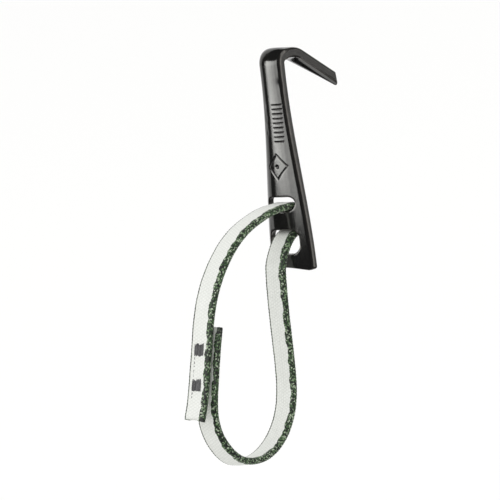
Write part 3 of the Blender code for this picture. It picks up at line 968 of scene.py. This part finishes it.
def stitch_tree():
    """Satin stitches: arched threads set side by side, each a little out of line."""
    name = "Satin Stitches"
    old = bpy.data.node_groups.get(name)
    if old is not None:
        bpy.data.node_groups.remove(old)
    tree = bpy.data.node_groups.new(name, "GeometryNodeTree")
    for title, kind in (("Threads", "NodeSocketInt"), ("Width", "NodeSocketFloat"),
                        ("Length", "NodeSocketFloat"), ("Thread Radius", "NodeSocketFloat"),
                        ("Arch", "NodeSocketFloat"), ("Seed", "NodeSocketInt"),
                        ("Material", "NodeSocketMaterial")):
        tree.interface.new_socket(title, in_out="INPUT", socket_type=kind)
    tree.interface.new_socket("Geometry", in_out="OUTPUT", socket_type="NodeSocketGeometry")
    given = add(tree, "NodeGroupInput").outputs

    # One thread: an arc across the length, with a round section.
    right = add(tree, "ShaderNodeMath", {0: given["Length"], 1: 0.5}, operation="MULTIPLY")
    left = add(tree, "ShaderNodeMath", {0: right, 1: -1.0}, operation="MULTIPLY")
    height = add(tree, "ShaderNodeMath", {0: given["Arch"], 1: 2.0}, operation="MULTIPLY")
    start = add(tree, "ShaderNodeCombineXYZ", {"X": left})
    end = add(tree, "ShaderNodeCombineXYZ", {"X": right})
    top = add(tree, "ShaderNodeCombineXYZ", {"Z": height})
    arc = add(tree, "GeometryNodeCurveQuadraticBezier",
              {"Resolution": 7, "Start": start, "Middle": top, "End": end})
    ring = add(tree, "GeometryNodeCurvePrimitiveCircle",
               {"Resolution": 7, "Radius": given["Thread Radius"]})
    thread = add(tree, "GeometryNodeCurveToMesh",
                 {"Curve": arc, "Profile Curve": ring, "Fill Caps": True})

    # The row that the threads stand on, spread over the width.
    spaces = add(tree, "ShaderNodeMath", {0: given["Threads"], 1: 1.0}, operation="SUBTRACT")
    gap = add(tree, "ShaderNodeMath", {0: given["Width"], 1: spaces}, operation="DIVIDE")
    edge = add(tree, "ShaderNodeMath", {0: given["Width"], 1: -0.5}, operation="MULTIPLY")
    first = add(tree, "ShaderNodeCombineXYZ", {"Y": edge})
    step = add(tree, "ShaderNodeCombineXYZ", {"Y": gap})
    row = add(tree, "GeometryNodeMeshLine",
              {"Count": given["Threads"], "Start Location": first, "Offset": step},
              mode="OFFSET")

    # Each thread slides along, turns and differs in size a little.
    slide = add(tree, "FunctionNodeRandomValue",
                {"Min": (-0.00042, -0.00003, -0.00006), "Max": (0.00042, 0.00003, 0.00006),
                 "Seed": given["Seed"]}, data_type="FLOAT_VECTOR")
    turn = add(tree, "FunctionNodeRandomValue",
               {"Min": (0.0, 0.0, -0.05), "Max": (0.0, 0.0, 0.05), "Seed": given["Seed"]},
               data_type="FLOAT_VECTOR")
    size = add(tree, "FunctionNodeRandomValue",
               {"Min": (0.9, 0.9, 0.85), "Max": (1.06, 1.1, 1.15), "Seed": given["Seed"]},
               data_type="FLOAT_VECTOR")
    moved = add(tree, "GeometryNodeSetPosition", {"Geometry": row, "Offset": slide})
    placed = add(tree, "GeometryNodeInstanceOnPoints",
                 {"Points": moved, "Instance": thread, "Rotation": turn, "Scale": size})
    solid = add(tree, "GeometryNodeRealizeInstances", {"Geometry": placed})
    finished = add(tree, "GeometryNodeSetMaterial",
                   {"Geometry": solid, "Material": given["Material"]})
    add(tree, "NodeGroupOutput", {"Geometry": finished})
    return tree


def stitched_mesh(tree, **values):
    """Run the stitch tree once and give its result as a plain mesh."""
    host = fresh_object("stitch_host", bpy.data.meshes.new("stitch_host"))
    modifier = host.modifiers.new("stitches", "NODES")
    modifier.node_group = tree
    for item in tree.interface.items_tree:
        title = item.name.lower().replace(" ", "_")
        if item.in_out == "INPUT" and title in values:
            modifier[item.identifier] = values[title]
    bpy.context.view_layer.update()
    result = bpy.data.meshes.new_from_object(
        host.evaluated_get(bpy.context.evaluated_depsgraph_get()))
    host.modifiers.remove(modifier)
    bpy.data.objects.remove(host)
    return result


def layers_at_height(line, z):
    """The outer layer's middle and direction at a height, and the inner layer's middle there."""
    third = len(line) // 3
    at = min(range(1, third), key=lambda i: abs(line[i].z - z))
    outer = line[at]
    along = (line[at + 1] - line[at - 1]).normalized()
    inner = min(line[2 * third:], key=lambda p: abs((p - outer).dot(along)))
    return outer, along, inner


def add_thread(form, middle, direction, radius, length):
    """Lay a straight thread in a mesh; its middle is in the frame, its sizes in millimetres."""
    bmesh.ops.create_cone(form, cap_ends=True, segments=8, radius1=radius * MM,
                          radius2=radius * MM, depth=length * MM,
                          matrix=Matrix.Translation(middle)
                          @ direction.to_track_quat("Z", "Y").to_matrix().to_4x4())


def tack_mesh(name, number, layers, tree, thread, settings, half_thick):
    """Satin stitches on both faces of the two layers, and the threads that show between them."""
    outer, along, inner = layers
    across = (outer - inner).normalized()
    form = bmesh.new()
    pads = ((outer + across * (half_thick - PAD_SINK), across),
            (inner - across * (half_thick - PAD_SINK), -across))
    for face, (middle, normal) in enumerate(pads):
        for layer in range(2):
            sewn = stitched_mesh(
                tree, threads=settings.threads - layer,
                width=settings.width * (1 - 0.1 * layer),
                length=settings.length * (1 - 0.06 * layer),
                thread_radius=settings.thread_radius,
                arch=PAD_ARCH + PAD_ARCH_STEP * layer,
                seed=7 * number + 3 * face + layer + 1, material=thread)
            turned = Matrix((along, normal.cross(along), normal)).transposed().to_4x4()
            sewn.transform(turned)
            sewn.transform(Matrix.Translation(world(middle.x, middle.y, middle.z)))
            form.from_mesh(sewn)
            bpy.data.meshes.remove(sewn)
    # A loose run of thread leads on from the tack, towards the webbing's cut end.
    for k in range(LOOSE_DASHES):
        start = outer - along * (LOOSE_START + LOOSE_PITCH * k) + across * (half_thick - 0.02)
        length = 0.8 + 0.3 * math.sin(2.3 * k + number)
        middle = start - along * length / 2
        side = LOOSE_Y + 0.12 * math.sin(3.1 * k)
        add_thread(form, world(middle.x, side, middle.z), along, LOOSE_RADIUS, length)
    depth = (outer - inner).length
    for k in range(CROSS_THREADS):
        for lane in (-CROSS_ALONG, CROSS_ALONG):
            middle = inner + along * lane + across * depth / 2
            side = (k - CROSS_THREADS // 2) * CROSS_PITCH
            add_thread(form, world(middle.x, side, middle.z), across, CROSS_RADIUS, depth)
    mesh = bpy.data.meshes.new(name)
    form.to_mesh(mesh)
    form.free()
    mesh.materials.clear()
    mesh.materials.append(thread)
    for polygon in mesh.polygons:
        polygon.material_index = 0
    mesh.shade_smooth()
    mesh.set_sharp_from_angle(angle=math.radians(50.0))
    return mesh


# ------------------------------------------------------------------ settings

class HookSettings(bpy.types.PropertyGroup):
    """Sizes of the steel hook's finish"""

    back_edge_radius: FloatProperty(
        name="Back Edge Radius", description="Rounding of the long edges of the hook's back",
        default=0.0009, unit="LENGTH")
    slot_edge_radius: FloatProperty(
        name="Slot Edge Radius", description="Rounding of the two slots' edges",
        default=0.00055, unit="LENGTH")
    mark_depth: FloatProperty(
        name="Mark Depth", description="Depth of the plain marks stamped into the back",
        default=0.0002, unit="LENGTH")


class SlingSettings(bpy.types.PropertyGroup):
    """Sizes of the webbing and its weave"""

    width: FloatProperty(name="Width", description="Width of the webbing", default=0.0085,
                         unit="LENGTH")
    thickness: FloatProperty(name="Thickness", description="Thickness of the webbing",
                             default=0.0025, unit="LENGTH")
    edge_radius: FloatProperty(name="Edge Radius", description="Rounding of the selvages",
                               default=0.00105, unit="LENGTH")
    mesh_step: FloatProperty(name="Mesh Step", description="Distance between mesh points",
                             default=0.00026, unit="LENGTH")
    rib_pitch: FloatProperty(name="Rib Pitch", description="Distance between two weft ribs",
                             default=0.00125, unit="LENGTH")
    rib_height: FloatProperty(name="Rib Height", description="Height of a weft rib",
                              default=0.00011, unit="LENGTH")
    selvage_relief: FloatProperty(name="Selvage Relief",
                                  description="Height of the selvage's yarn knots",
                                  default=0.00016, unit="LENGTH")
    selvage_near: FloatProperty(name="Broad Selvage",
                                description="How far the broad selvage reaches onto the faces",
                                default=0.00125, unit="LENGTH")
    selvage_far: FloatProperty(name="Narrow Selvage",
                               description="How far the narrow selvage reaches onto the faces",
                               default=0.0009, unit="LENGTH")
    selvage_bulge: FloatProperty(name="Selvage Bulge",
                                 description="How far the broad selvage swells past the edge",
                                 default=0.0006, unit="LENGTH")


class TackSettings(bpy.types.PropertyGroup):
    """Sizes of the bar tacks"""

    threads: IntProperty(name="Threads", description="Satin stitches side by side", default=10)
    width: FloatProperty(name="Width", description="Width of a tack across the webbing",
                         default=0.0039, unit="LENGTH")
    length: FloatProperty(name="Length", description="Length of a tack along the webbing",
                          default=0.0043, unit="LENGTH")
    thread_radius: FloatProperty(name="Thread Radius", description="Radius of the sewing thread",
                                 default=0.00021, unit="LENGTH")


class StageSettings(bpy.types.PropertyGroup):
    """The floor and the lights"""

    floor_drop: FloatProperty(name="Floor Drop", description="Floor's distance under the loop",
                              default=0.25, unit="LENGTH")
    sky_strength: FloatProperty(name="Sky Strength", description="Even light from all round",
                                default=1.0)
    daylight: FloatProperty(name="Daylight", description="Soft light from the upper left",
                            default=0.5)
    card_glow: FloatProperty(name="Card Glow", description="Brightness of the steel's shine",
                             default=1.0)
    floor_colour: FloatVectorProperty(name="Floor Colour", description="Colour of the floor",
                                      subtype="COLOR", size=4, default=linear("#F6F6F5"))


# ------------------------------------------------------------------ operators

class MakeHookBody(bpy.types.Operator):
    """Make the steel hook with its slots, rounded edges and stamped marks"""

    bl_idname = "climbing_hook.make_hook_body"
    bl_label = "Hook Body"

    def execute(self, context):
        vertices, faces, marks = hook_skin(context.scene.climbing_hook)
        mesh = closed_mesh("hook_body_forged", vertices, faces, marks, ("rim", "groove", "cut"))
        mesh.materials.append(blackened_steel())
        hook = fresh_object("hook_body_forged", mesh)
        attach(hook, "hook")
        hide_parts("hook_body")
        return {"FINISHED"}


class MakeSling(bpy.types.Operator):
    """Make the webbing round its bar tacks, as two lengths that meet on the front of the bar"""

    bl_idname = "climbing_hook.make_sling"
    bl_label = "Sling Webbing"

    def execute(self, context):
        settings = context.scene.climbing_sling
        fabric = woven_webbing()
        line, _ = smooth_route(WHOLE_ROUTE, settings.mesh_step / MM)
        lengths = np.cumsum([0.0] + [(b - a).length for a, b in zip(line, line[1:])])
        bar = Vector((ROUTE_BIGHT[BAR_MIDDLE][0], 0.0, ROUTE_BIGHT[BAR_MIDDLE][1]))
        split = min(range(len(line)), key=lambda i: (line[i] - bar).length)
        tacks = [context.scene.objects[tack + "_sewn"] for tack in TACKS]
        # Each length's points, what it stands for, where it leaves the hook, where it starts
        # and stops bending, and the pieces that are sewn to it.
        parts = (
            ("sling_webbing_upper", range(split, -1, -1), ("sling_upper_limb",),
             (-5.5, -51.6), (-4.5, -51.6), (-38.0, -61.0), tacks),
            ("sling_webbing_lower", range(split, len(line)), ("sling_bight", "sling_lower_limb"),
             (-5.5, -65.5), (-2.5, -61.5), (-22.5, -96.1), []),
        )
        for name, places, nodes, leaves, bend_from, bend_to, sewn_on in parts:
            first, last = min(places), max(places)
            mesh = webbing_mesh(name, line[first:last + 1], float(lengths[first]),
                                first == split, settings)
            mesh.materials.append(fabric)
            piece = fresh_object(name, mesh)
            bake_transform(piece)
            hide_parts(*nodes)
        return {"FINISHED"}


class MakeBarTacks(bpy.types.Operator):
    """Sew the two bar tacks through both layers of the webbing"""

    bl_idname = "climbing_hook.make_bar_tacks"
    bl_label = "Bar Tacks"

    def execute(self, context):
        half_thick = context.scene.climbing_sling.thickness / MM / 2
        thread = tack_thread()
        tree = stitch_tree()
        line, _ = smooth_route(WHOLE_ROUTE, 0.5)
        for number, (name, z) in enumerate(TACKS.items()):
            mesh = tack_mesh(name + "_sewn", number, layers_at_height(line, z), tree, thread,
                             context.scene.climbing_tacks, half_thick)
            tack = fresh_object(name + "_sewn", mesh)
            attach(tack, "sling")
            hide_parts(name)
        return {"FINISHED"}


def toward(azimuth_deg, elevation_deg):
    """A direction away from the hook; azimuth 0 is behind it, 90 on its -Y side."""
    azimuth, elevation = math.radians(azimuth_deg), math.radians(elevation_deg)
    return Vector((-math.cos(azimuth) * math.cos(elevation),
                   -math.sin(azimuth) * math.cos(elevation), math.sin(elevation)))


def place_camera(scene, aim):
    """A long lens that looks at the hook from behind, rolled so that the hook leans."""
    azimuth, roll = math.radians(VIEW_AZIMUTH_DEG), math.radians(VIEW_ROLL_DEG)
    back = toward(VIEW_AZIMUTH_DEG, VIEW_ELEVATION_DEG)
    right = Vector((math.sin(azimuth), -math.cos(azimuth), 0.0))
    up = back.cross(right)
    lens = bpy.data.cameras.new("camera")
    lens.lens = VIEW_LENS
    lens.shift_x, lens.shift_y = VIEW_SHIFT
    lens.clip_end = 200.0
    camera = fresh_object("camera", lens)
    turned = Matrix((right * math.cos(roll) - up * math.sin(roll),
                     right * math.sin(roll) + up * math.cos(roll), back)).transposed().to_4x4()
    turned.translation = aim + back * VIEW_DISTANCE
    camera.matrix_world = turned
    scene.camera = camera


def lay_floor(settings):
    """A wide floor of white paper, well below the loop."""
    low = CAD_BOX[0].z - settings.floor_drop
    reach = 60.0
    mesh = bpy.data.meshes.new("floor")
    mesh.from_pydata([(-reach, -reach, low), (reach, -reach, low), (reach, reach, low),
                      (-reach, reach, low)], [], [(0, 1, 2, 3)])
    mesh.materials.append(matt_paper(settings.floor_colour))
    floor = fresh_object("floor", mesh)
    floor.visible_glossy = False


def place_lamp(name, light, aim, direction, distance):
    """Point a light at the hook from a direction, out of the camera's sight."""
    lamp = fresh_object(name, light)
    lamp.matrix_world = (Matrix.Translation(aim + direction * distance)
                         @ direction.to_track_quat("Z", "Y").to_matrix().to_4x4())
    lamp.visible_camera = False
    return lamp


def place_card(name, aim, direction, size, glow):
    """A bright card that only shine sees; glow is how bright its face is."""
    light = bpy.data.lights.new(name, "AREA")
    light.shape = "RECTANGLE"
    light.size, light.size_y = size
    light.energy = glow * math.pi * light.size * light.size_y
    card = place_lamp(name, light, aim, direction, CARD_DISTANCE)
    card.visible_diffuse = False
    return card


class MakeStage(bpy.types.Operator):
    """Set out the pale floor, the soft lights and the camera"""

    bl_idname = "climbing_hook.make_stage"
    bl_label = "Stage"

    def execute(self, context):
        settings = context.scene.climbing_stage
        scene = context.scene
        aim = world(*AIM)
        place_camera(scene, aim)
        lay_floor(settings)

        sky = bpy.data.worlds.new("studio")
        sky.use_nodes = True
        backdrop = sky.node_tree.nodes["Background"]
        backdrop.inputs["Color"].default_value = (1.0, 1.0, 1.0, 1.0)
        backdrop.inputs["Strength"].default_value = settings.sky_strength
        sky.cycles_visibility.glossy = False
        scene.world = sky
        scene.view_settings.view_transform = "Standard"

        sun = bpy.data.lights.new("soft_daylight", "SUN")
        sun.energy = settings.daylight
        sun.angle = math.radians(40.0)
        place_lamp("soft_daylight", sun, aim, toward(-5.0, 48.0), 3.0).visible_glossy = False

        for name, first, last, low_edge, high_edge, glow in CARDS:
            top = aim.z + CARD_DISTANCE * math.tan(math.radians(high_edge))
            bottom = world(0.0, 0.0, SOFTBOX_LOW_Z).z
            if low_edge is not None:
                bottom = aim.z + CARD_DISTANCE * math.tan(math.radians(low_edge))
            width = 2 * CARD_DISTANCE * math.tan(math.radians((last - first) / 2))
            card = place_card(name, aim, toward((first + last) / 2, 0.0),
                              (width, top - bottom), glow * settings.card_glow)
            card.location.z = (top + bottom) / 2
        place_card("under_card", aim, toward(UNDER_CARD["azimuth"], UNDER_CARD["elevation"]),
                   UNDER_CARD["size"], UNDER_CARD["glow"])
        return {"FINISHED"}


class ClimbingHookPanel(bpy.types.Panel):
    """The pieces of the hook and sling, one button each"""

    bl_idname = "VIEW3D_PT_climbing_hook"
    bl_label = "Climbing Hook"
    bl_space_type = "VIEW_3D"
    bl_region_type = "UI"
    bl_category = "Climbing Hook"

    def draw(self, context):
        scene = context.scene
        for settings, names, maker in (
                (scene.climbing_hook, ("back_edge_radius", "slot_edge_radius", "mark_depth"),
                 MakeHookBody),
                (scene.climbing_sling, ("width", "thickness", "rib_pitch", "rib_height",
                                        "selvage_near", "selvage_far", "selvage_bulge"),
                 MakeSling),
                (scene.climbing_tacks, ("threads", "width", "length", "thread_radius"),
                 MakeBarTacks),
                (scene.climbing_stage, ("floor_drop", "sky_strength", "daylight", "card_glow",
                                        "floor_colour"), MakeStage)):
            box = self.layout.box()
            for name in names:
                box.prop(settings, name)
            box.operator(maker.bl_idname)


SETTINGS = (("climbing_hook", HookSettings), ("climbing_sling", SlingSettings),
            ("climbing_tacks", TackSettings), ("climbing_stage", StageSettings))
OPERATORS = (MakeHookBody, MakeSling, MakeBarTacks, MakeStage)


def register():
    for name, group in SETTINGS:
        bpy.utils.register_class(group)
        setattr(bpy.types.Scene, name, PointerProperty(type=group))
    for item in (*OPERATORS, ClimbingHookPanel):
        bpy.utils.register_class(item)


def unregister():
    for item in reversed((*OPERATORS, ClimbingHookPanel)):
        bpy.utils.unregister_class(item)
    for name, group in reversed(SETTINGS):
        delattr(bpy.types.Scene, name)
        bpy.utils.unregister_class(group)


def main():
    register()
    bpy.ops.climbing_hook.make_hook_body()
    bpy.ops.climbing_hook.make_bar_tacks()
    bpy.ops.climbing_hook.make_sling()
    bpy.ops.climbing_hook.make_stage()


if __name__ == "__main__":
    main()
